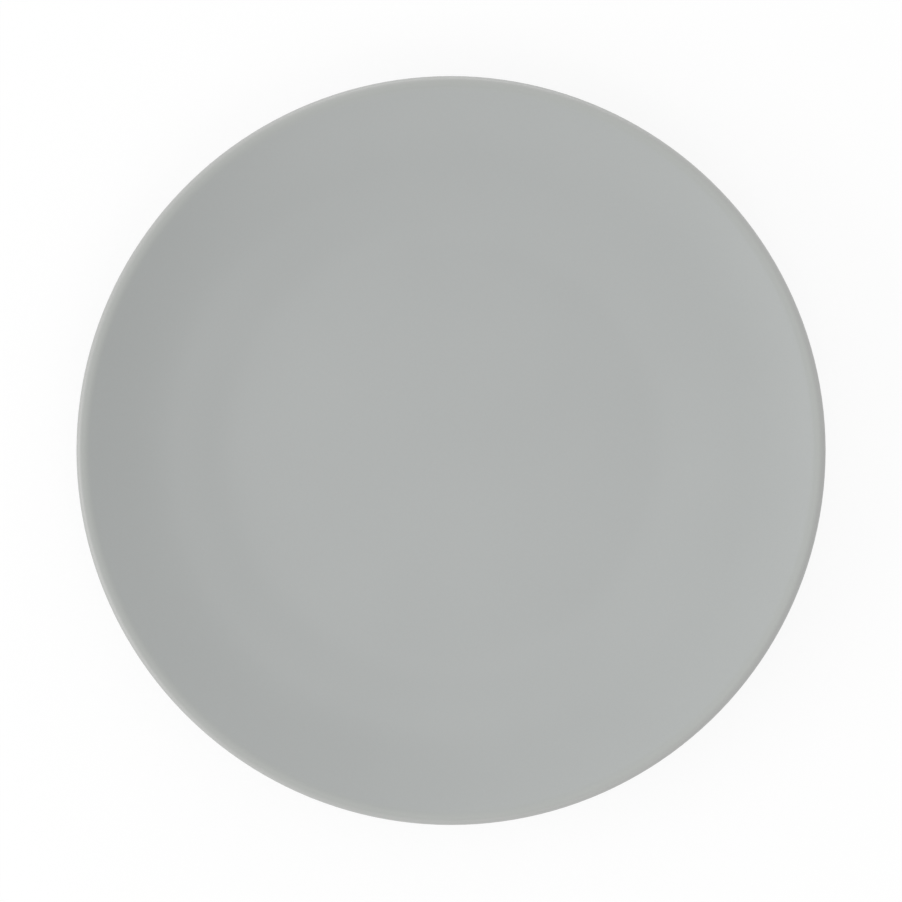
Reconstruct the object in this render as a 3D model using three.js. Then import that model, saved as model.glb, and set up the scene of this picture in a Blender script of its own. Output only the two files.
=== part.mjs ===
// A round coupe plate in glazed stoneware: a flat well, one sweeping wall and a soft lip, on a low foot ring.
// Millimetres, +Z up. The plate stands on z = 0 and is round about the z axis.
// Sizes of the dish and the lip are taken over the glaze, sizes of the foot ring on its bare clay.

import * as THREE from "three";

// Whole plate
const PLATE_DIAMETER = 220;
const PLATE_HEIGHT = 20; // table to the crest of the lip
const BASE_THICKNESS = 4.5; // floor of the well to the underside
const WALL_REACH = 50; // edge of the flat well to the edge of the plate, seen from above

// Wall, from the well up to the lip
const TURN_RADIUS = 60; // hollow that eases the flat well into the wall
const LOWER_SLOPE = 9.5; // degrees, on the straight lower stretch
const LOWER_RUN = 12; // outward reach of that straight stretch
const UPPER_SLOPE = 29; // degrees, on the face where the lip begins
const BACK_SLOPE = 32; // degrees, on the back where the lip begins

// Lip
const LIP_FACE_RADIUS = 4.5; // rounding from the face to the crest
const LIP_EDGE_RADIUS = 1.9; // rounding from the crest over the edge to the back

// Foot ring
const FOOT_HEIGHT = 3; // table to the underside
const FOOT_WIDTH = 4.5; // across its sole, before the edges are rounded
const FOOT_LEAN = 15; // degrees, by which each side leans out over the sole
const FOOT_EDGE_RADIUS = 0.6; // rounding of the sole's edges
const FOOT_ROOT_RADIUS = 1.2; // hollow where each side runs into the underside
const STACKING_CLEARANCE = 1; // between this foot and the edge of the well of a like plate under it

// Glaze
const GLAZE_THICKNESS = 0.4;
const GLAZE_SEAM = 0.02; // hairline that keeps the facets of the glaze off those of the clay
const BARE_SIDE = 0.5; // height of bare clay on the foot's sides, above the rounded edges

// Facets of the curves
const ROUND_STEPS = 64;
const TURN_STEPS = 2;
const WALL_STEPS = 5;
const BACK_STEPS = 6;
const LIP_STEPS = 3;
const FOOT_STEPS = 3;

// Ways that a surface can face in the half section, as angles from outwards, turning up
const OUT = 0;
const UP = Math.PI / 2;
const DOWN = -Math.PI / 2;
const QUARTER_TURN = Math.PI / 2;

const lowerSlope = THREE.MathUtils.degToRad(LOWER_SLOPE);
const upperSlope = THREE.MathUtils.degToRad(UPPER_SLOPE);
const backSlope = THREE.MathUtils.degToRad(BACK_SLOPE);
const footLean = THREE.MathUtils.degToRad(FOOT_LEAN);

const plateRadius = PLATE_DIAMETER / 2;
const wellRadius = plateRadius - WALL_REACH;
const wellHeight = FOOT_HEIGHT + BASE_THICKNESS;
const footOuterRadius = wellRadius - STACKING_CLEARANCE;
const footMiddleRadius = footOuterRadius - FOOT_WIDTH / 2;
const glazeStand = GLAZE_THICKNESS + GLAZE_SEAM;

// Places in the half section are a radius from the axis and a height above the table.
const point = (radius, height) => new THREE.Vector2(radius, height);

const shift = (angle, length) => point(Math.cos(angle), Math.sin(angle)).multiplyScalar(length);

// A stop on an outline is a place and the way that the surface faces there.
const stop = (place, facing) => ({ place, facing });

// Stops round an arc, its ends included. A negative radius makes a hollow, which faces its own centre.
function arc(centre, radius, fromFacing, toFacing, count) {
  return Array.from({ length: count + 1 }, (_, i) => {
    const facing = THREE.MathUtils.lerp(fromFacing, toFacing, i / count);
    return stop(centre.clone().add(shift(facing, radius)), facing);
  });
}

// Stops between two others, on a smooth sweep that leaves one and arrives at the other along their own slopes.
function sweep(from, to, count) {
  const handle = from.place.distanceTo(to.place) / 3;
  const curve = new THREE.CubicBezierCurve(
    from.place,
    from.place.clone().add(shift(from.facing - QUARTER_TURN, handle)),
    to.place.clone().sub(shift(to.facing - QUARTER_TURN, handle)),
    to.place,
  );
  return Array.from({ length: count - 1 }, (_, i) => {
    const along = (i + 1) / count;
    return stop(curve.getPoint(along), curve.getTangent(along).angle() + QUARTER_TURN);
  });
}

// The same stretch on the other side of the foot ring's middle, run the other way.
function mirroredInFoot(stops) {
  const mirror = ({ place, facing }) =>
    stop(point(2 * footMiddleRadius - place.x, place.y), -Math.PI - facing);
  return stops.map(mirror).reverse();
}

// Flat well, the turn out of it and the straight lower wall.
function wellStretch() {
  const centre = stop(point(0, wellHeight), UP);
  const turnCentre = point(wellRadius, wellHeight + TURN_RADIUS);
  const turn = arc(turnCentre, -TURN_RADIUS, UP, UP + lowerSlope, TURN_STEPS);
  const turnEnd = turn.at(-1);
  const lowerWall = shift(lowerSlope, LOWER_RUN / Math.cos(lowerSlope));
  const lowerEnd = stop(turnEnd.place.clone().add(lowerWall), turnEnd.facing);
  return [centre, ...turn, lowerEnd];
}

// Lip, from the face over the crest and the edge to the back.
function lipStretch() {
  const crestRadius = plateRadius - LIP_EDGE_RADIUS;
  const faceCentre = point(crestRadius, PLATE_HEIGHT - LIP_FACE_RADIUS);
  const edgeCentre = point(crestRadius, PLATE_HEIGHT - LIP_EDGE_RADIUS);
  const toCrest = arc(faceCentre, LIP_FACE_RADIUS, UP + upperSlope, UP, LIP_STEPS);
  const toEdge = arc(edgeCentre, LIP_EDGE_RADIUS, UP, OUT, LIP_STEPS);
  const toBack = arc(edgeCentre, LIP_EDGE_RADIUS, OUT, DOWN + backSlope, LIP_STEPS);
  return [...toCrest, ...toEdge.slice(1), ...toBack.slice(1)];
}

// Glazed outer side of the foot ring, from the underside down to the glaze line.
function footSideStretch() {
  const facing = -footLean;
  const rootReach = glazeStand + FOOT_ROOT_RADIUS;
  const rootHeight = FOOT_HEIGHT - FOOT_ROOT_RADIUS;
  const rootRise = (rootHeight + rootReach * Math.sin(footLean)) / Math.cos(footLean);
  const rootCentre = point(footOuterRadius, 0)
    .add(shift(facing, rootReach))
    .add(shift(facing + QUARTER_TURN, rootRise));
  const root = arc(rootCentre, -FOOT_ROOT_RADIUS, DOWN, facing, FOOT_STEPS);
  const lineHeight = FOOT_EDGE_RADIUS * (1 - Math.sin(footLean)) + BARE_SIDE;
  const lineOnClay = point(footOuterRadius + lineHeight * Math.tan(footLean), lineHeight);
  const glazeLine = stop(lineOnClay.add(shift(facing, glazeStand)), facing);
  return [...root, glazeLine];
}

// Bare outer edge of the foot's sole, rounded from the side to the table.
function soleEdgeStretch() {
  const rise = (FOOT_EDGE_RADIUS * (1 - Math.sin(footLean))) / Math.cos(footLean);
  const centre = point(footOuterRadius, 0)
    .add(shift(-footLean, -FOOT_EDGE_RADIUS))
    .add(shift(QUARTER_TURN - footLean, rise));
  return arc(centre, FOOT_EDGE_RADIUS, -footLean, DOWN, FOOT_STEPS);
}

const well = wellStretch();
const lip = lipStretch();
const footSide = footSideStretch();
const soleEdge = soleEdgeStretch();
const wall = sweep(well.at(-1), lip[0], WALL_STEPS);
const back = sweep(lip.at(-1), footSide[0], BACK_STEPS);

const coatOutline = [...well, ...wall, ...lip, ...back, ...footSide];
const soleOutline = [...soleEdge, ...mirroredInFoot(soleEdge)];
const baseOutline = [...mirroredInFoot(footSide), stop(point(0, FOOT_HEIGHT), DOWN)];

// Places of an outline, moved in from the surface by a depth.
const sunk = (stops, depth) =>
  stops.map(({ place, facing }) => place.clone().sub(shift(facing, depth)));

const glazeFinish = { color: "#b1b4b3", roughness: 0.35, metalness: 0 };
const bareClayFinish = { color: "#c8bfb0", roughness: 0.85, metalness: 0 };

// Turns a half section about the plate's axis. A lathe's own axis is y, so the mesh is tipped up to z.
function turned(name, section, finish) {
  const geometry = new THREE.LatheGeometry(section, ROUND_STEPS);
  const mesh = new THREE.Mesh(geometry, new THREE.MeshStandardMaterial(finish));
  mesh.name = name;
  mesh.rotation.x = QUARTER_TURN;
  return mesh;
}

// Fired clay in one piece, bare only on the sole of its foot.
function plateBody() {
  const section = [
    ...sunk(coatOutline, glazeStand),
    ...sunk(soleOutline, 0),
    ...sunk(baseOutline, glazeStand),
  ];
  return turned("plate_body", section.reverse(), bareClayFinish);
}

// Glaze over the face, the lip and the back, down to the glaze line on the foot.
function glazeCoat() {
  const section = [...sunk(coatOutline, 0), ...sunk(coatOutline, GLAZE_THICKNESS).reverse()];
  return turned("glaze_coat", section.reverse(), glazeFinish);
}

// Glaze inside the foot ring, cut off from the coat by the bare sole.
function baseGlaze() {
  const section = [...sunk(baseOutline, GLAZE_THICKNESS).reverse(), ...sunk(baseOutline, 0)];
  return turned("base_glaze", section.reverse(), glazeFinish);
}

const plate = new THREE.Group();
plate.add(plateBody(), glazeCoat(), baseGlaze());

export default plate;
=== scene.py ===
# %% [markdown]
# # A grey breakfast plate
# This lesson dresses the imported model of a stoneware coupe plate: a flat well, one sweeping wall, a soft
# lip and a low foot ring. The plate is one piece of fired clay with two skins of glaze on it. One skin
# covers the face, the lip and the back. The other lies inside the foot ring. Only the sole of the foot is
# bare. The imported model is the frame. It says where everything is, so the first step is to load it and
# note its box.

# %% Load the frame
import math
from collections import namedtuple

import bpy
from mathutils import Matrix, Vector


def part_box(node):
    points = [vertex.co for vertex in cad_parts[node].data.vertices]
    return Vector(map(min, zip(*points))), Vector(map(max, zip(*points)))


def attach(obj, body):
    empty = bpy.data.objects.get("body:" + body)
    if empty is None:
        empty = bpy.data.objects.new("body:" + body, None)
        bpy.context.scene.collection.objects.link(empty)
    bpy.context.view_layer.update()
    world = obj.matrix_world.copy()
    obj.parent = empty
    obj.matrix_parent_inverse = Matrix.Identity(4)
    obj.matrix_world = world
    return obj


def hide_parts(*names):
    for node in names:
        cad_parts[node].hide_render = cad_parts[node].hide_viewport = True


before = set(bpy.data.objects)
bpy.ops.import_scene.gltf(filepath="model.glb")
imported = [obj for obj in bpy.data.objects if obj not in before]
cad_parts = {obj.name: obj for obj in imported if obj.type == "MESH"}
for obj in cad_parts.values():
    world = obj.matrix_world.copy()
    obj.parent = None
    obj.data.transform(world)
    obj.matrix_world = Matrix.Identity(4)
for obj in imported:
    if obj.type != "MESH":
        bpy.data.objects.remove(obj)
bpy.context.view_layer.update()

# %% [markdown]
# ## Sizes
# A plate is turned about its own axis, so all of its shape is in one half section. The same sizes as in
# the model are used here, in metres. The width and the height are read from the frame. The rest are
# written down.

# %% Sizes of the plate
MM = 0.001

_, coat_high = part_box("glaze_coat")
plate_radius = coat_high.x
plate_height = coat_high.z

foot_height = 3 * MM
base_thickness = 4.5 * MM
wall_reach = 50 * MM
well_radius = plate_radius - wall_reach
well_height = foot_height + base_thickness

stacking_clearance = 1 * MM
foot_width = 4.5 * MM
foot_lean = math.radians(15)
foot_outer_radius = well_radius - stacking_clearance
foot_middle_radius = foot_outer_radius - foot_width / 2

glaze_thickness = 0.4 * MM
glaze_seam = 0.02 * MM
glaze_stand = glaze_thickness + glaze_seam
print("plate radius", plate_radius, "height", plate_height, "well radius", well_radius)

# %% [markdown]
# ## Curves of the half section
# A section could be drawn as points by hand, but a potter's template is made of a few arcs and easy
# sweeps. So a stop on the outline is a place, which is a radius and a height, and the way that the
# surface faces there. Arcs, straight runs and sweeps give lists of such stops, and more stops make a
# smoother surface.

# %% Arcs, straight runs and sweeps
OUT = 0.0
UP = math.pi / 2
DOWN = -math.pi / 2
QUARTER_TURN = math.pi / 2


def shift(angle, length):
    """A step in the half section, at an angle from outwards, turning up."""
    return Vector((math.cos(angle), math.sin(angle))) * length


def arc(centre, radius, from_facing, to_facing, count):
    """Stops round an arc, its ends included. A negative radius makes a hollow."""
    stops = []
    for i in range(count + 1):
        facing = from_facing + (to_facing - from_facing) * i / count
        stops.append((centre + shift(facing, radius), facing))
    return stops


def straight(start, end, count):
    """Stops on a straight run after its start, with its end."""
    return [(start[0].lerp(end[0], i / count), start[1]) for i in range(1, count + 1)]


def sweep(start, end, count):
    """Stops between two others, on a curve that leaves one and reaches the other along their own slopes."""
    handle = (end[0] - start[0]).length / 3
    first = start[0]
    second = start[0] + shift(start[1] - QUARTER_TURN, handle)
    third = end[0] - shift(end[1] - QUARTER_TURN, handle)
    fourth = end[0]
    stops = []
    for i in range(1, count):
        t = i / count
        s = 1 - t
        place = first * s**3 + second * 3 * s * s * t + third * 3 * s * t * t + fourth * t**3
        along = (second - first) * s * s + (third - second) * 2 * s * t + (fourth - third) * t * t
        stops.append((place, math.atan2(along.y, along.x) + QUARTER_TURN))
    return stops


print("a quarter arc in 4 steps has", len(arc(Vector((0, 0)), 1, UP, OUT, 4)), "stops")

# %% [markdown]
# ## Face and lip
# The face runs from the axis over the flat well, up a gentle straight wall and into a steeper sweep. The
# lip is two arcs: a wide one that rolls the face over to the crest, and a tight one round the edge. The
# flat well could be one ring, but it has many, for its faint unevenness, which comes later.

# %% Face and lip
turn_radius = 60 * MM
lower_slope = math.radians(9.5)
lower_run = 12 * MM
upper_slope = math.radians(29)
back_slope = math.radians(32)
lip_face_radius = 4.5 * MM
lip_edge_radius = 1.9 * MM

well_steps = 20
turn_steps = 8
lower_steps = 4
upper_steps = 18
lip_steps = 10
under_lip_steps = 8

axis_stop = (Vector((0, well_height)), UP)
turn_centre = Vector((well_radius, well_height + turn_radius))
turn = arc(turn_centre, -turn_radius, UP, UP + lower_slope, turn_steps)
lower_wall = shift(lower_slope, lower_run / math.cos(lower_slope))
lower_end = (turn[-1][0] + lower_wall, UP + lower_slope)

crest_radius = plate_radius - lip_edge_radius
lip_face_centre = Vector((crest_radius, plate_height - lip_face_radius))
lip_edge_centre = Vector((crest_radius, plate_height - lip_edge_radius))
lip = arc(lip_face_centre, lip_face_radius, UP + upper_slope, UP, lip_steps)
lip += arc(lip_edge_centre, lip_edge_radius, UP, OUT, lip_steps)[1:]
lip += arc(lip_edge_centre, lip_edge_radius, OUT, DOWN + back_slope, under_lip_steps)[1:]

well = [axis_stop] + straight(axis_stop, turn[0], well_steps)
wall = turn[1:] + straight(turn[-1], lower_end, lower_steps) + sweep(lower_end, lip[0], upper_steps)
face = well + wall
print("face", len(face), "stops, lip", len(lip), "stops, lower wall ends at", tuple(lower_end[0]))

# %% [markdown]
# ## Foot ring and back
# The foot narrows a little towards the table, and a hollow root eases it into the back, which is one long
# sweep down from the lip. The sole is ground flat, with rounded edges. The inner side of the foot is the
# outer side mirrored in the middle of the ring, so only one side is drawn. Distances up the side of the
# foot are measured along its slope from the table.

# %% Outer side of the foot, and the back
foot_edge_radius = 0.6 * MM
foot_root_radius = 1.2 * MM
bare_side = 0.5 * MM
foot_steps = 8
back_steps = 28

side_facing = -foot_lean
side_corner = Vector((foot_outer_radius, 0))


def up_the_side(rise, stand):
    """A place on the foot's outer side, at a distance from the table and a stand off the clay."""
    return side_corner + shift(side_facing + QUARTER_TURN, rise) + shift(side_facing, stand)


root_reach = glaze_stand + foot_root_radius
root_rise = (foot_height - foot_root_radius + root_reach * math.sin(foot_lean)) / math.cos(foot_lean)
root_centre = up_the_side(root_rise, root_reach)
root = arc(root_centre, -foot_root_radius, DOWN, side_facing, foot_steps)

edge_rise = foot_edge_radius * (1 - math.sin(foot_lean)) / math.cos(foot_lean)
edge_centre = up_the_side(edge_rise, -foot_edge_radius)
sole_edge = arc(edge_centre, foot_edge_radius, side_facing, DOWN, foot_steps)
line_rise = edge_rise + bare_side / math.cos(foot_lean)
line_height = line_rise * math.cos(foot_lean)
back = sweep(lip[-1], root[0], back_steps)
print("glazed side of the foot runs from", root_rise, "to", line_rise, "above the table, along its slope")

# %% [markdown]
# ## Stops that carry clay and glaze
# Clay and glaze share every stop: the glaze stands off the clay by its thickness and a hairline seam, so
# neither cuts into the other. Melted glaze gathers into a soft bead just before it ends, and its end
# wanders a little round the foot. So each stop also has the stand of the glaze there, and how far the
# wandering line moves it.

# %% Bead of glaze at its end
Stop = namedtuple("Stop", "place facing stand wander ripple")
bead_swell = 0.12 * MM
bead_nose = 0.45 * MM
bead_reach = 0.4 * MM
line_wander = 0.15 * MM
blunt_end = 0.03 * MM
swell_steps = 4
nose_steps = 8


def eased(share):
    """A share held between 0 and 1, which leaves 0 and reaches 1 gently."""
    held = min(max(share, 0.0), 1.0)
    return held * held * (3 - 2 * held)


def bead_stops():
    """The coat swells towards its end, then rounds down to the clay at the glaze line."""
    down_the_side = shift(side_facing - QUARTER_TURN, line_wander)
    full_stand = glaze_stand + bead_swell
    end_stand = glaze_seam + blunt_end
    crest_rise = line_rise + bead_nose
    start_rise = crest_rise + bead_reach
    stops = []
    for i in range(swell_steps + 1):
        share = i / swell_steps
        stand = glaze_stand + bead_swell * eased(share)
        place = up_the_side(start_rise - bead_reach * share, stand)
        stops.append(Stop(place, side_facing, stand, down_the_side * eased(share), 0.0))
    for i in range(1, nose_steps + 1):
        angle = QUARTER_TURN * i / nose_steps
        stand = end_stand + (full_stand - end_stand) * math.cos(angle)
        place = up_the_side(crest_rise - bead_nose * math.sin(angle), stand)
        stops.append(Stop(place, side_facing, stand, down_the_side, 0.0))
    return stops


bead = bead_stops()
print("bead of", len(bead), "stops, from", tuple(bead[0].place), "to", tuple(bead[-1].place))

# %% [markdown]
# ## The three outlines
# The coat goes from the axis over the face, the lip and the back to the bead on the foot. The sole is
# bare clay. The base is the mirrored bead and root, and then the floor of the recess, which rises a
# little to the middle as it does on real plates, so that a plate stands on its foot and never on its
# middle.

# %% Outlines of the coat, the sole and the base
base_rise = 0.25 * MM
base_steps = 20
still = Vector((0, 0))


def glazed(stops, ripple=0.0):
    """Stops under an even coat, which feel the ripple of the face or don't."""
    return [Stop(place, facing, glaze_stand, still, ripple) for place, facing in stops]


def mirrored(stops):
    """The same stretch on the inner side of the foot ring, run the other way."""
    turned_over = []
    for stop in reversed(stops):
        place = Vector((2 * foot_middle_radius - stop.place.x, stop.place.y))
        wander = Vector((-stop.wander.x, stop.wander.y))
        turned_over.append(Stop(place, -math.pi - stop.facing, stop.stand, wander, stop.ripple))
    return turned_over


foot_side = glazed(root) + bead
coat_outline = glazed(face, 1.0) + glazed(lip) + glazed(back) + foot_side

bare_edge = [Stop(place, facing, 0.0, still, 0.0) for place, facing in sole_edge]
sole_outline = bare_edge + mirrored(bare_edge)

base_outline = mirrored(foot_side)
recess_radius = base_outline[-1].place.x
for i in range(1, base_steps + 1):
    share = 1 - i / base_steps
    place = Vector((recess_radius * share, foot_height + base_rise * (1 - eased(share))))
    base_outline.append(Stop(place, DOWN, glaze_stand, still, 0.0))
print("stops: coat", len(coat_outline), "sole", len(sole_outline), "base", len(base_outline))

# %% [markdown]
# ## Turning a section into a piece
# Blender's Screw modifier could spin a section, but then every ring would be a perfect circle. Here the
# rings are made in code, so that the plate can have what firing does to it: the rim lifts and dips by a
# fraction of a millimetre, and the face has a faint ripple. Clay and glaze move together, so the seam
# between them stays even.

# %% Small marks of making and firing
round_steps = 180
rim_lift = 0.2 * MM
face_ripple = 0.03 * MM

Ripple = namedtuple("Ripple", "length heading start")
ripples = (Ripple(34 * MM, 0.4, 1.3), Ripple(47 * MM, 2.2, 4.1), Ripple(61 * MM, 3.9, 0.2))

Swing = namedtuple("Swing", "share count start")
rim_swings = (Swing(0.65, 2, 0.7), Swing(0.35, 3, -0.4))
line_swings = (Swing(0.5, 3, -1.1708), Swing(0.3, 7, 0.5292), Swing(0.2, 13, 3.6292))


def swung(swings, angle):
    """A wave from -1 to 1 that closes round the plate. Each swing in it repeats a whole count of times."""
    return sum(swing.share * math.cos(swing.count * angle + swing.start) for swing in swings)


def rim_lifted(radius, angle):
    """How far the rim rose in the kiln: nothing over the foot, most at the edge."""
    share = eased((radius - well_radius) / wall_reach)
    return rim_lift * share * swung(rim_swings, angle)


def face_rippled(x, y):
    """The faint unevenness of the pressed face, fading out before the lip."""
    total = 0.0
    for ripple in ripples:
        along = x * math.cos(ripple.heading) + y * math.sin(ripple.heading)
        total += math.sin(2 * math.pi * along / ripple.length + ripple.start)
    share = 1 - eased((math.hypot(x, y) - well_radius) / wall_reach)
    return face_ripple * share * total / len(ripples)


angles_round = [2 * math.pi * step / round_steps for step in range(round_steps)]
print("rim lift at its highest", max(rim_lifted(plate_radius, angle) for angle in angles_round))

# %% Rings and faces
sharp_from = math.radians(50)
on_axis = 0.001 * MM


def turned(name, section):
    """Turns a section that starts and ends on the axis into a closed piece. A ring on the axis is a single
    corner, so the faces beside it have three corners and the others four."""
    corners = []
    rings = []
    for stop in section:
        steps = round_steps if stop.place.x > on_axis else 1
        rings.append(range(len(corners), len(corners) + steps))
        for angle in angles_round[:steps]:
            radius, height = stop.place + stop.wander * swung(line_swings, angle)
            x = radius * math.cos(angle)
            y = radius * math.sin(angle)
            height += stop.ripple * face_rippled(x, y) + rim_lifted(radius, angle)
            corners.append((x, y, height))
    faces = []
    for inner, outer in zip(rings, rings[1:]):
        for step in range(round_steps):
            following = (step + 1) % round_steps
            loop = [inner[step % len(inner)], outer[step % len(outer)]]
            loop += [outer[following % len(outer)], inner[following % len(inner)]]
            faces.append(list(dict.fromkeys(loop)))
    mesh = bpy.data.meshes.new(name)
    mesh.from_pydata(corners, [], faces)
    mesh.validate()
    mesh.shade_smooth()
    mesh.set_sharp_from_angle(angle=sharp_from)
    piece = bpy.data.objects.new(name, mesh)
    bpy.context.collection.objects.link(piece)
    print(name, len(corners), "corners", len(faces), "faces")
    return piece


print("each ring has", round_steps, "corners")

# %% [markdown]
# ## Clay body and the two skins of glaze
# Each piece stands for its own part of the imported model and rides on its body. Its finish comes with its
# material, further on. The clay goes all the way through. The coat and the base are thin closed shells:
# over the glaze and back under it.

# %% Clay, coat and base
def on_clay(stops):
    """The clay under each stop, which doesn't move with the wandering line."""
    return [s._replace(place=s.place - shift(s.facing, s.stand), wander=still) for s in stops]


def under_glaze(stops):
    """The underside of the glaze, a hairline off the clay."""
    return [s._replace(place=s.place - shift(s.facing, s.stand - glaze_seam)) for s in stops]


clay = turned("clay_body", on_clay(coat_outline) + on_clay(sole_outline) + on_clay(base_outline))
coat = turned("glaze_over_plate", coat_outline + under_glaze(coat_outline)[::-1])
base = turned("glaze_inside_foot", under_glaze(base_outline)[::-1] + base_outline)

for piece, node, slot in (
    (clay, "plate_body", "bare_clay"),
    (coat, "glaze_coat", "glaze"),
    (base, "base_glaze", "glaze"),
):
    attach(piece, "root")
    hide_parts(node)
    print(piece.name, "stands for", node)

# %% [markdown]
# ## Nodes by name
# Materials are trees of nodes. They could be wired by hand in the Shader Editor. In code, a few short
# helpers make the trees below read like a recipe: add a node with its inputs, mix two colours, do a sum,
# fade from nothing to full over a stretch of some value, spread a value between two others, or make noise.

# %% Helpers for nodes
# A Mix node has sockets of one name for numbers, vectors and colours, so the colours go by place.
COLOUR_A = 6
COLOUR_B = 7
COLOUR_RESULT = 2


def add(tree, kind, inputs=None, **options):
    """Adds a node. An input given as a socket is linked, any other value is set."""
    made = tree.nodes.new(kind)
    for option, value in options.items():
        setattr(made, option, value)
    for socket, value in (inputs or {}).items():
        if isinstance(value, bpy.types.NodeSocket):
            tree.links.new(value, made.inputs[socket])
        else:
            made.inputs[socket].default_value = value
    return made


def mixed(tree, share, first, second, way="MIX"):
    inputs = {0: share, COLOUR_A: first, COLOUR_B: second}
    return add(tree, "ShaderNodeMix", inputs, data_type="RGBA", blend_type=way).outputs[COLOUR_RESULT]


def sum_of(tree, operation, first, second):
    return add(tree, "ShaderNodeMath", {0: first, 1: second}, operation=operation).outputs[0]


def fade(tree, value, nothing_at, full_at):
    inputs = {"Value": value, "From Min": nothing_at, "From Max": full_at}
    return add(tree, "ShaderNodeMapRange", inputs, interpolation_type="SMOOTHSTEP").outputs[0]


def spread(tree, value, low, high):
    return add(tree, "ShaderNodeMapRange", {"Value": value, "To Min": low, "To Max": high}).outputs[0]


def noise(tree, where, scale, detail):
    inputs = {"Vector": where, "Scale": scale, "Detail": detail}
    return add(tree, "ShaderNodeTexNoise", inputs).outputs[0]


print("helpers:", [helper.__name__ for helper in (add, mixed, sum_of, fade, spread, noise)])

# %% [markdown]
# ## Place on the plate
# Glaze thins at the lip, pools at the root of the foot and ends at a line, and clay is toasted beside
# that line. All of these follow the distance from the plate's axis or the height above the table, and the
# marks of grinding follow the way round. So one node group gives all three, and each material asks it.

# %% Node group for place on the plate
def new_group(name, inputs, outputs):
    """An empty group with named sockets for numbers, and its start and end."""
    group = bpy.data.node_groups.new(name, "ShaderNodeTree")
    for socket in inputs:
        group.interface.new_socket(name=socket, in_out="INPUT", socket_type="NodeSocketFloat")
    for socket in outputs:
        group.interface.new_socket(name=socket, in_out="OUTPUT", socket_type="NodeSocketFloat")
    return group, group.nodes.new("NodeGroupInput"), group.nodes.new("NodeGroupOutput")


place_group, _, place_end = new_group("Place on the plate", (), ("Radius", "Height", "Angle"))
where = add(place_group, "ShaderNodeTexCoord").outputs["Object"]
parts = add(place_group, "ShaderNodeSeparateXYZ", {0: where})
level = add(place_group, "ShaderNodeCombineXYZ", {"X": parts.outputs["X"], "Y": parts.outputs["Y"]})
radius = add(place_group, "ShaderNodeVectorMath", {0: level.outputs[0]}, operation="LENGTH")
angle = sum_of(place_group, "ARCTAN2", parts.outputs["Y"], parts.outputs["X"])
place_group.links.new(radius.outputs["Value"], place_end.inputs["Radius"])
place_group.links.new(parts.outputs["Z"], place_end.inputs["Height"])
place_group.links.new(angle, place_end.inputs["Angle"])
print("group", place_group.name, "with", len(place_group.nodes), "nodes")

# %% [markdown]
# ## Fired mottle
# Nothing out of a kiln is quite even. Soft clouds come from the flame and the thickness of the glaze, and
# a fine grain comes from the clay under it. The group makes both from noise in real sizes and puts out a
# tone near 1, which multiplies a colour, and the grain by itself, which varies the roughness and lifts
# the bump.

# %% Node group for fired mottle
mottle_group, mottle_start, mottle_end = new_group(
    "Fired mottle",
    ("Cloud Size", "Cloud Depth", "Grain Size", "Grain Depth"),
    ("Tone", "Grain"),
)
NOISE_SWING = 2.0
CLOUD_DETAIL = 2.0
GRAIN_DETAIL = 3.0


def mottle_layer(size, depth, detail):
    """Noise of a real size, and the same noise as a swing of the tone about nothing."""
    where = add(mottle_group, "ShaderNodeTexCoord").outputs["Object"]
    scale = sum_of(mottle_group, "DIVIDE", 1.0, mottle_start.outputs[size])
    cloud = noise(mottle_group, where, scale, detail)
    about_nothing = spread(mottle_group, cloud, -NOISE_SWING, NOISE_SWING)
    return cloud, sum_of(mottle_group, "MULTIPLY", about_nothing, mottle_start.outputs[depth])


_, cloud_swing = mottle_layer("Cloud Size", "Cloud Depth", CLOUD_DETAIL)
grain, grain_swing = mottle_layer("Grain Size", "Grain Depth", GRAIN_DETAIL)
both_swings = sum_of(mottle_group, "ADD", cloud_swing, grain_swing)
mottle_group.links.new(sum_of(mottle_group, "ADD", both_swings, 1.0), mottle_end.inputs["Tone"])
mottle_group.links.new(grain, mottle_end.inputs["Grain"])
print("group", mottle_group.name, "with", len(mottle_group.nodes), "nodes")

# %% [markdown]
# ## A new material
# Each material starts with its shader, one copy of each group, and the values that are the same all over
# it, which are set on the shader itself.

# %% Start of a material
def new_material(name, mottle_sizes, ior):
    """A material with its shader, and what the two groups put out for it."""
    material = bpy.data.materials.new(name)
    material.use_nodes = True
    tree = material.node_tree
    tree.nodes.clear()
    shader = add(tree, "ShaderNodeBsdfPrincipled", {"IOR": ior})
    add(tree, "ShaderNodeOutputMaterial", {"Surface": shader.outputs[0]})
    place = add(tree, "ShaderNodeGroup", node_tree=place_group)
    mottle = add(tree, "ShaderNodeGroup", mottle_sizes, node_tree=mottle_group)
    return material, tree, shader, place.outputs, mottle.outputs


print("materials share", len(bpy.data.node_groups), "groups")

# %% [markdown]
# ## Glaze
# The real glaze is an even, cool mid grey with a satin surface. On the lip it runs thin over the warm
# clay, so it is a little warmer there. Right at the edge it is paler and a little warmer: a painted
# highlight where the rounded rim catches the light, over the warmth of the thin glaze. It pools in the
# root of the foot, a little darker and glossier, and where it ends a thin brown edge shows. The surface
# has the very shallow orange peel of melted glass. It is far too fine to see from above, but it keeps the
# sheen soft in a low view.

# %% Colour of the glaze
GLAZE_GREY = (0.4122, 0.4271, 0.4215, 1)
LIP_GREY = (0.4098, 0.4238, 0.4084, 1)
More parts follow.
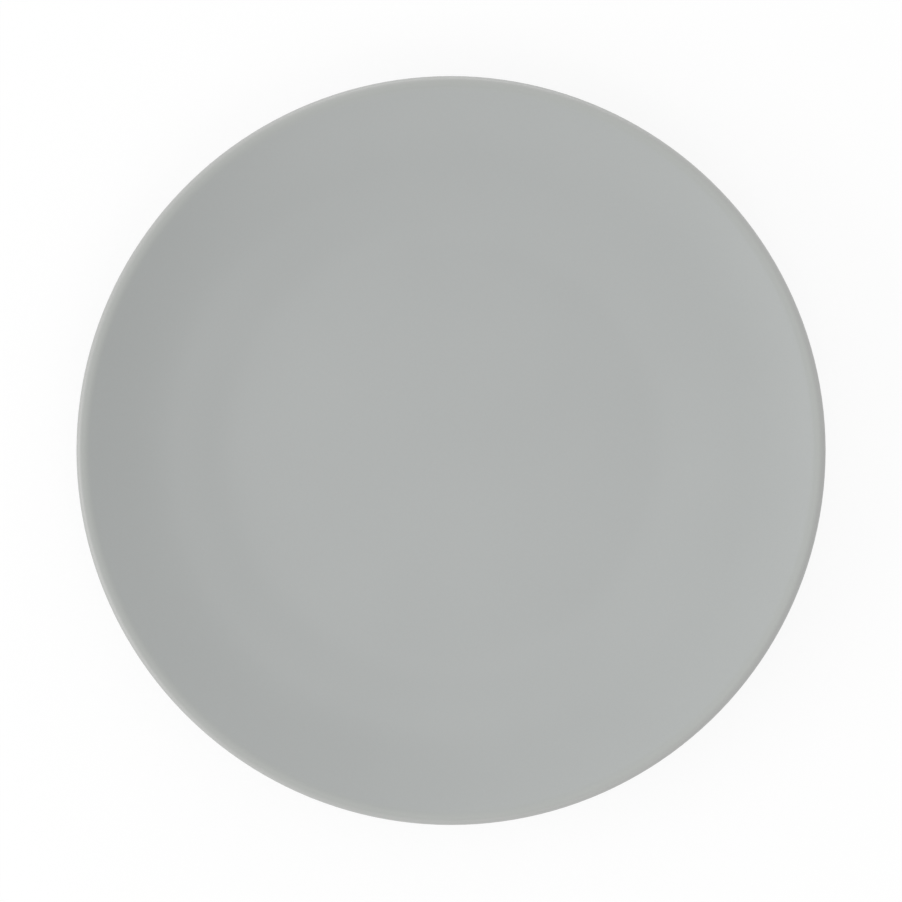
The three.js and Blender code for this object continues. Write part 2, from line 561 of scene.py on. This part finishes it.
# The edge grey is partly a painted highlight, paler where the rounded rim catches the light, and partly the
# warmth of thin glaze.
EDGE_HIGHLIGHT_GREY = (0.4470, 0.4538, 0.4424, 1)
POOLED_GREY = (0.350, 0.363, 0.360, 1)
THIN_GLAZE = (0.385, 0.352, 0.308, 1)
GLAZE_IOR = 1.5
LIP_RADII = (plate_radius - 5.0 * MM, plate_radius - 2.2 * MM)
EDGE_HIGHLIGHT_RADII = (plate_radius - 2.2 * MM, plate_radius - 0.9 * MM)
POOL_REACH = (6.0 * MM, 3.6 * MM)
POOL_HEIGHTS = (foot_height + 0.7 * MM, foot_height - 0.6 * MM)
END_HEIGHTS = (line_height + 0.4 * MM, line_height)
END_SHARE = 0.7

glaze_mottle = {"Cloud Size": 45 * MM, "Cloud Depth": 0.012, "Grain Size": 0.6 * MM, "Grain Depth": 0.012}
glaze, tree, shader, place, mottle = new_material("satin_grey_glaze", glaze_mottle, GLAZE_IOR)

on_lip = fade(tree, place["Radius"], *LIP_RADII)
# Mask of the painted highlight along the rim's edge.
edge_highlight = fade(tree, place["Radius"], *EDGE_HIGHLIGHT_RADII)
from_foot = sum_of(tree, "SUBTRACT", place["Radius"], foot_middle_radius)
from_foot = add(tree, "ShaderNodeMath", {0: from_foot}, operation="ABSOLUTE").outputs[0]
beside_foot = fade(tree, from_foot, *POOL_REACH)
low_down = fade(tree, place["Height"], *POOL_HEIGHTS)
pooled = sum_of(tree, "MULTIPLY", beside_foot, low_down)
at_end = sum_of(tree, "MULTIPLY", fade(tree, place["Height"], *END_HEIGHTS), END_SHARE)

colour = mixed(tree, on_lip, GLAZE_GREY, LIP_GREY)
colour = mixed(tree, edge_highlight, colour, EDGE_HIGHLIGHT_GREY)
colour = mixed(tree, pooled, colour, POOLED_GREY)
colour = mixed(tree, at_end, colour, THIN_GLAZE)
colour = mixed(tree, 1.0, colour, mottle["Tone"], "MULTIPLY")
tree.links.new(colour, shader.inputs["Base Color"])
print("glaze", GLAZE_GREY, "lip", LIP_GREY, "edge", EDGE_HIGHLIGHT_GREY)

# %% Surface of the glaze
SATIN_ROUGHNESS = (0.36, 0.46)
POOL_GLOSS = 0.1
PEEL_SIZE = 1.8 * MM
PEEL_DEPTH = 0.010 * MM
PEEL_DETAIL = 1.0
GRAIN_DEPTH = 0.004 * MM

roughness = spread(tree, mottle["Grain"], *SATIN_ROUGHNESS)
roughness = sum_of(tree, "SUBTRACT", roughness, sum_of(tree, "MULTIPLY", pooled, POOL_GLOSS))
tree.links.new(roughness, shader.inputs["Roughness"])

where = add(tree, "ShaderNodeTexCoord").outputs["Object"]
peel = noise(tree, where, 1 / PEEL_SIZE, PEEL_DETAIL)
peel_bump = add(tree, "ShaderNodeBump", {"Height": peel, "Distance": PEEL_DEPTH})
bump_inputs = {"Height": mottle["Grain"], "Distance": GRAIN_DEPTH, "Normal": peel_bump.outputs[0]}
tree.links.new(add(tree, "ShaderNodeBump", bump_inputs).outputs[0], shader.inputs["Normal"])
for piece in (coat, base):
    piece.data.materials.append(glaze)
print("glaze has", len(tree.nodes), "nodes")

# %% [markdown]
# ## Bare clay
# Only the sole of the foot is bare: warm stoneware with a sandy grain. It is toasted beside the glaze,
# where the glaze drew iron out of it, and pale and smoother on the flat that was ground after firing. The
# grinding leaves fine marks that run round the ring, so their noise is stretched along the angle and
# tight across the radius.

# %% Colour of the clay
CLAY = (0.560, 0.505, 0.425, 1)
TOASTED_CLAY = (0.375, 0.270, 0.185, 1)
GROUND_CLAY = (0.640, 0.595, 0.520, 1)
CLAY_IOR = 1.45
TOASTED_HEIGHTS = (line_height - 0.4 * MM, line_height + 0.05 * MM)
TOASTED_SHARE = 0.8
GROUND_HEIGHTS = (0.05 * MM, 0.0)
MARK_WIDTH = 0.2 * MM
MARK_DETAIL = 2.0
MARK_TONES = (1.06, 0.90)

clay_mottle = {"Cloud Size": 7 * MM, "Cloud Depth": 0.05, "Grain Size": 0.35 * MM, "Grain Depth": 0.10}
bare_clay, tree, shader, place, mottle = new_material("bare_stoneware", clay_mottle, CLAY_IOR)

toasted = sum_of(tree, "MULTIPLY", fade(tree, place["Height"], *TOASTED_HEIGHTS), TOASTED_SHARE)
ground = fade(tree, place["Height"], *GROUND_HEIGHTS)
across = sum_of(tree, "DIVIDE", place["Radius"], MARK_WIDTH)
marks_at = add(tree, "ShaderNodeCombineXYZ", {"X": across, "Y": place["Angle"]}).outputs[0]
marks = sum_of(tree, "MULTIPLY", noise(tree, marks_at, 1.0, MARK_DETAIL), ground)

colour = mixed(tree, ground, CLAY, GROUND_CLAY)
colour = mixed(tree, toasted, colour, TOASTED_CLAY)
colour = mixed(tree, 1.0, colour, mottle["Tone"], "MULTIPLY")
colour = mixed(tree, 1.0, colour, spread(tree, marks, *MARK_TONES), "MULTIPLY")
tree.links.new(colour, shader.inputs["Base Color"])
print("clay", CLAY, "toasted", TOASTED_CLAY, "ground", GROUND_CLAY)

# %% Surface of the clay
CLAY_ROUGHNESS = (0.9, 0.78)
MARK_DEPTH = 0.01 * MM
SAND_DEPTH = 0.03 * MM

tree.links.new(spread(tree, ground, *CLAY_ROUGHNESS), shader.inputs["Roughness"])
marks_bump = add(tree, "ShaderNodeBump", {"Height": marks, "Distance": MARK_DEPTH})
bump_inputs = {"Height": mottle["Grain"], "Distance": SAND_DEPTH, "Normal": marks_bump.outputs[0]}
tree.links.new(add(tree, "ShaderNodeBump", bump_inputs).outputs[0], shader.inputs["Normal"])
clay.data.materials.append(bare_clay)
print("clay has", len(tree.nodes), "nodes")

# %% [markdown]
# ## Camera
# The plate is seen straight from above, so the camera hangs over its middle and looks down. Its height is
# worked out from the share of the picture that the rim fills, with a long lens, which keeps the view
# flat. The plate lies half a pixel above the middle of the picture.

# %% Camera over the plate
PICTURE_SIDE = 902
RIM_PIXELS = 374.5
HALF_PIXEL = 0.5
LENS = 100
SENSOR = 36

camera = bpy.data.objects.new("camera", bpy.data.cameras.new("camera"))
bpy.context.collection.objects.link(camera)
camera.data.lens = LENS
camera.data.sensor_width = SENSOR
half_view = SENSOR / 2 / LENS
camera_rise = plate_radius / half_view * (PICTURE_SIDE / 2) / RIM_PIXELS
one_pixel = plate_radius / RIM_PIXELS
camera.location = (0, -HALF_PIXEL * one_pixel, lip_edge_centre.y + camera_rise)
bpy.context.scene.camera = camera
print("camera hangs", camera_rise, "over the rim")

# %% [markdown]
# ## Light
# The light is that of a plain white studio. A soft white surrounding and a softbox overhead light the
# plate nearly evenly. A wide, low softbox on the left makes the right wall a little lighter than the left
# one, and two more, far and near, keep the walls there from falling dark. For the camera and in
# reflections the surrounding is white.

# %% Surrounding
PLAIN_WHITE = (1, 1, 1, 1)
SURROUND_LIGHT = 0.624


def seen_directly(tree):
    """1 for what the camera, a reflection or a see-through sees, 0 for the light that falls on things."""
    rays = add(tree, "ShaderNodeLightPath").outputs
    seen = sum_of(tree, "MAXIMUM", rays["Is Camera Ray"], rays["Is Glossy Ray"])
    return sum_of(tree, "MAXIMUM", seen, rays["Is Transmission Ray"])


world = bpy.data.worlds.new("white_studio")
world.use_nodes = True
tree = world.node_tree
tree.nodes.clear()
strength = spread(tree, seen_directly(tree), SURROUND_LIGHT, 1.0)
background = add(tree, "ShaderNodeBackground", {"Color": PLAIN_WHITE, "Strength": strength})
add(tree, "ShaderNodeOutputWorld", {"Surface": background.outputs[0]})
bpy.context.scene.world = world
print("surrounding gives", SURROUND_LIGHT, "of full light")

# %% Softboxes
SOFTBOX_DISTANCE = 2.4
Softbox = namedtuple("Softbox", "name heading rise width height light")
SOFTBOXES = (
    Softbox("left_softbox", 195, 22, 2.4, 1.0, 0.340),
    Softbox("far_softbox", 90, 10, 2.4, 0.8, 0.275),
    Softbox("near_softbox", 285, 48, 1.4, 1.2, 0.112),
    Softbox("top_softbox", 180, 90, 1.0, 1.0, 0.084),
)


def lamp_power(box):
    """A light of 1 falling straight on a white sheet makes it as white as it can be. The ends of a wide
    lamp are farther off and face away, so a wide lamp gets more power to make up for them."""
    power = box.light * (math.pi * SOFTBOX_DISTANCE) ** 2
    for side in (box.width, box.height):
        power /= math.cos(math.atan2(side / 2, SOFTBOX_DISTANCE))
    return power


def hang(box):
    """Hangs a lamp facing the plate, at a heading from the right and a rise from the table, in degrees."""
    lamp = bpy.data.lights.new(box.name, "AREA")
    lamp.shape = "RECTANGLE"
    lamp.size = box.width
    lamp.size_y = box.height
    lamp.energy = lamp_power(box)
    heading = math.radians(box.heading)
    rise = math.radians(box.rise)
    level = Vector((math.cos(heading), math.sin(heading), 0))
    to_lamp = level * math.cos(rise) + Vector((0, 0, math.sin(rise)))
    hung = bpy.data.objects.new(box.name, lamp)
    hung.location = to_lamp * SOFTBOX_DISTANCE
    hung.rotation_euler = to_lamp.to_track_quat("Z", "Y").to_euler()
    bpy.context.collection.objects.link(hung)


table_light = SURROUND_LIGHT
for box in SOFTBOXES:
    hang(box)
    table_light += box.light * math.sin(math.radians(box.rise))
print("light on the table", round(table_light, 3))

# %% [markdown]
# ## Floor
# The floor is a plain white sheet. Seen directly it glows just enough to be as white as the surrounding
# where no shadow lies, and it glows more far out, where the lamps no longer reach. The plate's shadow is
# deepest under the plate and only a trace beside it, as on an overexposed white table. From behind the
# sheet is see-through, so that the underside of the plate can be looked at.

# %% White floor
FLOOR_SIDE = 8.0

floor_mesh = bpy.data.meshes.new("floor")
half_floor = FLOOR_SIDE / 2
floor_corners = [(-half_floor, -half_floor, 0), (half_floor, -half_floor, 0)]
floor_corners += [(half_floor, half_floor, 0), (-half_floor, half_floor, 0)]
floor_mesh.from_pydata(floor_corners, [], [(0, 1, 2, 3)])
floor = bpy.data.objects.new("floor", floor_mesh)
bpy.context.collection.objects.link(floor)
print("floor of", FLOOR_SIDE, "m")

# %% Finish of the floor
FLOOR_GREY = (0.85, 0.85, 0.85, 1)
SHADOW_UNDER = 0.45
SHADOW_BESIDE = 0.16
SHADOW_RADII = (plate_radius - 30 * MM, plate_radius + 2 * MM)
LAMP_RADII = (0.3, 2.5)

white_sheet = bpy.data.materials.new("white_sheet")
white_sheet.use_nodes = True
tree = white_sheet.node_tree
tree.nodes.clear()
lit = add(tree, "ShaderNodeBsdfDiffuse", {"Color": FLOOR_GREY})
where = add(tree, "ShaderNodeTexCoord").outputs["Object"]
from_axis = add(tree, "ShaderNodeVectorMath", {0: where}, operation="LENGTH").outputs["Value"]
beside = fade(tree, from_axis, *SHADOW_RADII)
shadow_share = spread(tree, beside, SHADOW_UNDER, SHADOW_BESIDE)
shaded = add(tree, "ShaderNodeBsdfDiffuse", {"Color": shadow_share})
far_off = fade(tree, from_axis, *LAMP_RADII)
sheet_light = spread(tree, far_off, table_light, SURROUND_LIGHT)
missing_white = sum_of(tree, "SUBTRACT", 1.0, sum_of(tree, "MULTIPLY", shadow_share, sheet_light))
glow = add(tree, "ShaderNodeEmission", {"Color": missing_white})
seen = add(tree, "ShaderNodeAddShader", {0: shaded.outputs[0], 1: glow.outputs[0]})
front = add(tree, "ShaderNodeMixShader", {0: seen_directly(tree), 1: lit.outputs[0], 2: seen.outputs[0]})
behind = add(tree, "ShaderNodeNewGeometry").outputs["Backfacing"]
clear = add(tree, "ShaderNodeBsdfTransparent")
sheet = add(tree, "ShaderNodeMixShader", {0: behind, 1: front.outputs[0], 2: clear.outputs[0]})
add(tree, "ShaderNodeOutputMaterial", {"Surface": sheet.outputs[0]})
floor_mesh.materials.append(white_sheet)
print("sheet has", len(tree.nodes), "nodes")

# %% [markdown]
# ## Last steps
# Colours are shown as they are, with no film look. The dressed plate stands out of the model's box only by
# the lift of the rim.

# %% Colours
bpy.context.scene.view_settings.view_transform = "Standard"
